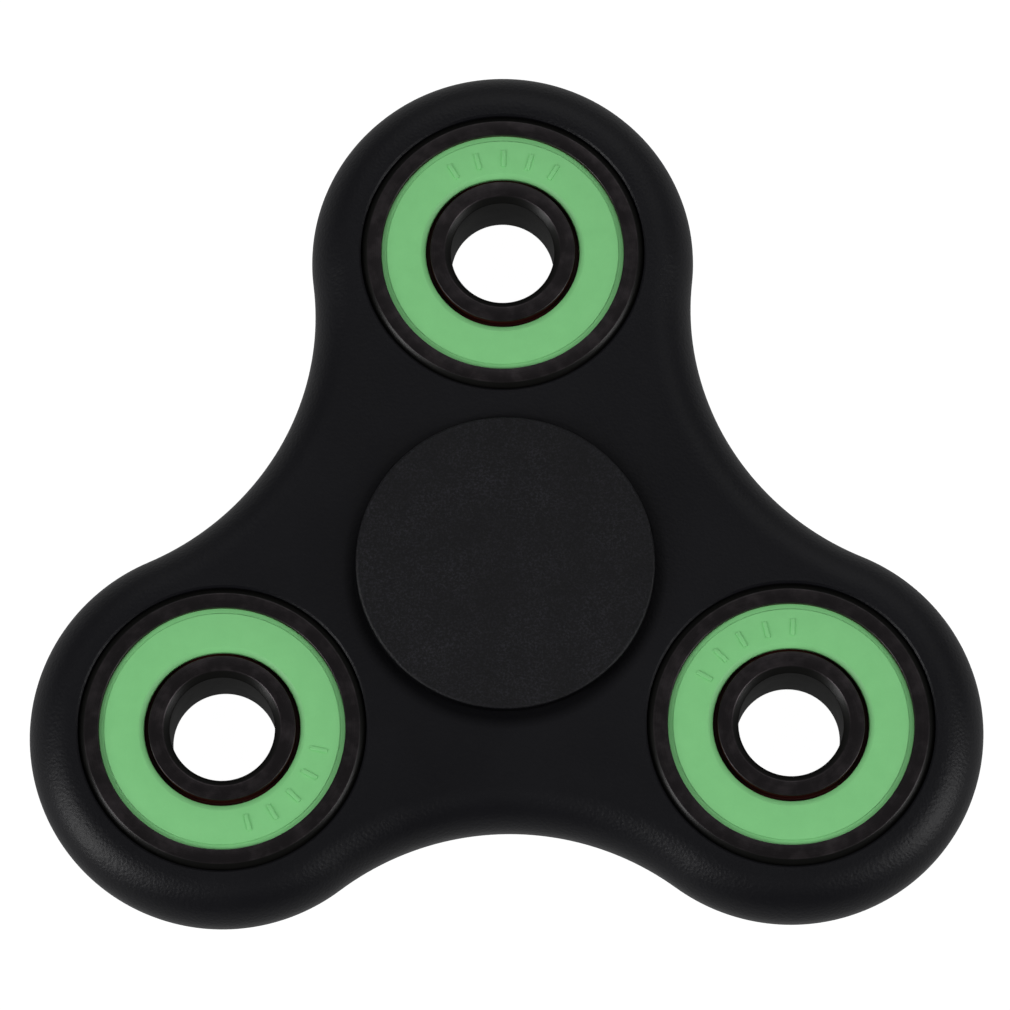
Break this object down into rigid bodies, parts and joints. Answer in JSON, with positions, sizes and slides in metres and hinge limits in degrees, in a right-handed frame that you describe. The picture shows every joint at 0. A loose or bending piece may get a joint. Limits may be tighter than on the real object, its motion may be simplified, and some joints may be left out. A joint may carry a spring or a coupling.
{
  "type": "fidget spinner",
  "caption": "Three-lobed moulded hand spinner turning on a centre bearing between flat thumb caps, with a sealed ball bearing as the weight in each round lobe.",
  "frame": {"origin": "on the spin axis, at mid-thickness", "axes": "+Z along the spin axis out of the front face, +Y towards the first lobe"},
  "size_m": [0.073, 0.0672, 0.0094],
  "materials": {
    "body": "fine moulded grain",
    "cap": "spark-eroded grain",
    "ring": "blackened, ground",
    "seal": "satin moulded",
    "insert": "pressed",
    "shield": "pressed",
    "cage": "satin",
    "ball": "polished"
  },
  "bodies": {
    "grip": {"thumb_cap_front": "cap", "thumb_cap_back": "cap", "centre_inner_ring": "ring"},
    "frame": {"body": "body", "centre_outer_ring": "ring", "centre_shield_front": "shield", "centre_shield_back": "shield", "top_outer_ring": "ring", "left_outer_ring": "ring", "right_outer_ring": "ring", "top_seal_front": "seal", "top_seal_back": "seal", "left_seal_front": "seal", "left_seal_back": "seal", "right_seal_front": "seal", "right_seal_back": "seal", "top_insert_front": "insert", "top_insert_back": "insert", "left_insert_front": "insert", "left_insert_back": "insert", "right_insert_front": "insert", "right_insert_back": "insert"},
    "centre_balls": {"centre_cage": "cage", "centre_ball_1": "ball", "centre_ball_2": "ball", "centre_ball_3": "ball", "centre_ball_4": "ball", "centre_ball_5": "ball", "centre_ball_6": "ball", "centre_ball_7": "ball"},
    "top_inner": {"top_inner_ring": "ring"},
    "top_balls": {"top_cage": "cage", "top_ball_1": "ball", "top_ball_2": "ball", "top_ball_3": "ball", "top_ball_4": "ball", "top_ball_5": "ball", "top_ball_6": "ball", "top_ball_7": "ball"},
    "left_inner": {"left_inner_ring": "ring"},
    "left_balls": {"left_cage": "cage", "left_ball_1": "ball", "left_ball_2": "ball", "left_ball_3": "ball", "left_ball_4": "ball", "left_ball_5": "ball", "left_ball_6": "ball", "left_ball_7": "ball"},
    "right_inner": {"right_inner_ring": "ring"},
    "right_balls": {"right_cage": "cage", "right_ball_1": "ball", "right_ball_2": "ball", "right_ball_3": "ball", "right_ball_4": "ball", "right_ball_5": "ball", "right_ball_6": "ball", "right_ball_7": "ball"}
  },
  "joints": [
    {"name": "spin", "type": "hinge", "parent": "grip", "child": "frame", "pos_m": [0, 0, 0], "axis": [0, 0, 1], "continuous": true},
    {"name": "centre_balls_orbit", "type": "hinge", "parent": "grip", "child": "centre_balls", "pos_m": [0, 0, 0], "axis": [0, 0, 1], "continuous": true},
    {"name": "top_ring_spin", "type": "hinge", "parent": "frame", "child": "top_inner", "pos_m": [0, 0.025, 0], "axis": [0, 0, 1], "continuous": true},
    {"name": "top_balls_orbit", "type": "hinge", "parent": "frame", "child": "top_balls", "pos_m": [0, 0.025, 0], "axis": [0, 0, 1], "continuous": true},
    {"name": "left_ring_spin", "type": "hinge", "parent": "frame", "child": "left_inner", "pos_m": [-0.02165, -0.0125, 0], "axis": [0, 0, 1], "continuous": true},
    {"name": "left_balls_orbit", "type": "hinge", "parent": "frame", "child": "left_balls", "pos_m": [-0.02165, -0.0125, 0], "axis": [0, 0, 1], "continuous": true},
    {"name": "right_ring_spin", "type": "hinge", "parent": "frame", "child": "right_inner", "pos_m": [0.02165, -0.0125, 0], "axis": [0, 0, 1], "continuous": true},
    {"name": "right_balls_orbit", "type": "hinge", "parent": "frame", "child": "right_balls", "pos_m": [0.02165, -0.0125, 0], "axis": [0, 0, 1], "continuous": true}
  ],
  "couplings": [
    {"joint": "centre_balls_orbit", "follows": "spin", "ratio": 0.6323},
    {"joint": "top_balls_orbit", "follows": "top_ring_spin", "ratio": 0.3677},
    {"joint": "left_balls_orbit", "follows": "left_ring_spin", "ratio": 0.3677},
    {"joint": "right_balls_orbit", "follows": "right_ring_spin", "ratio": 0.3677}
  ]
}
